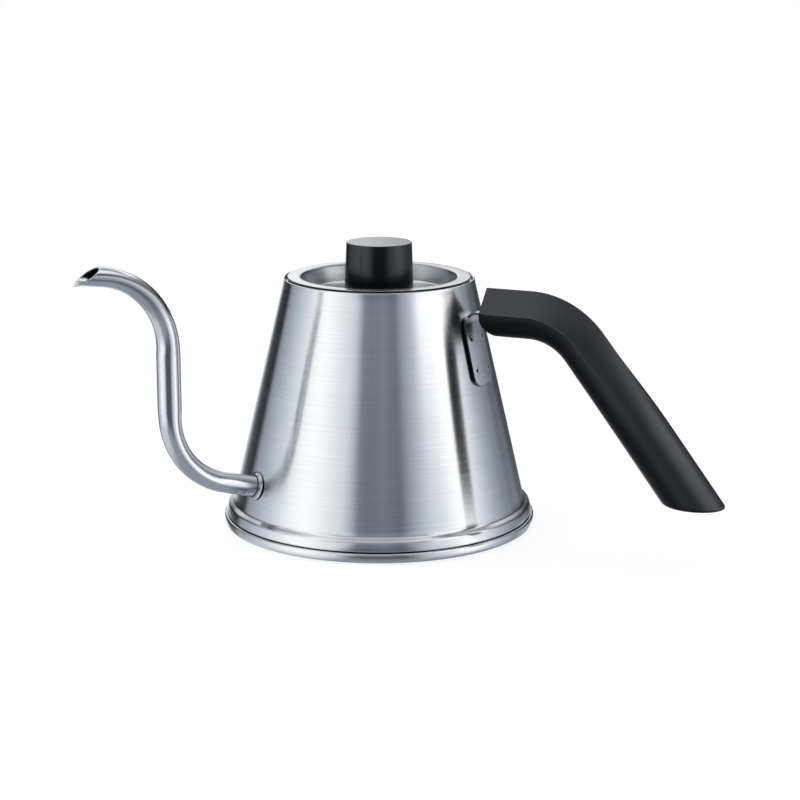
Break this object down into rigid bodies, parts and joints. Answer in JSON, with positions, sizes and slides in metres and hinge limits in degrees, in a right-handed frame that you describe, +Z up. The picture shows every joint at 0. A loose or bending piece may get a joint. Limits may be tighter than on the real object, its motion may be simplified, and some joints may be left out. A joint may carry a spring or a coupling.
{
  "type": "gooseneck kettle",
  "caption": "Stainless pour-over kettle: conical body on a capsule base, thin gooseneck spout, angled black resin side handle, recessed lift-off lid with a black knob.",
  "frame": {"origin": "centre of the flat underside the kettle stands on", "axes": "+Z up along the axis of the conical body; the spout leaves at 210.6 degrees and the handle at -29.3 degrees in the XY plane, both turned from the X axis toward -Y"},
  "size_m": [0.2649, 0.1534, 0.1257],
  "materials": {
    "brushed_body": "circumferentially brushed",
    "satin_steel": "satin",
    "polished_tube": "fine satin",
    "bracket_steel": "rolled sheet",
    "screw_steel": "plain",
    "aluminium_core": "as rolled",
    "brass": "turned",
    "black_resin": "fine matte",
    "black_resin_knob": "semi-matte"
  },
  "bodies": {
    "kettle": {"body_shell": "brushed_body", "base_pan": "brushed_body", "base_core": "aluminium_core", "base_cap": "satin_steel", "spout_tube": "polished_tube", "spout_collar": "polished_tube", "handle_bracket": "bracket_steel", "handle_grip": "black_resin", "handle_screw_front": "screw_steel", "handle_screw_rear": "screw_steel", "handle_washer_front": "screw_steel", "handle_washer_rear": "screw_steel", "handle_nut_front": "screw_steel", "handle_nut_rear": "screw_steel"},
    "lid": {"lid_pan": "satin_steel", "lid_skirt": "satin_steel", "knob": "black_resin_knob", "knob_insert": "brass", "knob_washer": "screw_steel", "knob_screw": "screw_steel"}
  },
  "joints": [
    {"name": "lid_lift", "type": "slide", "parent": "kettle", "child": "lid", "axis": [0, 0, 1], "range_m": [0, 0.04]}
  ]
}
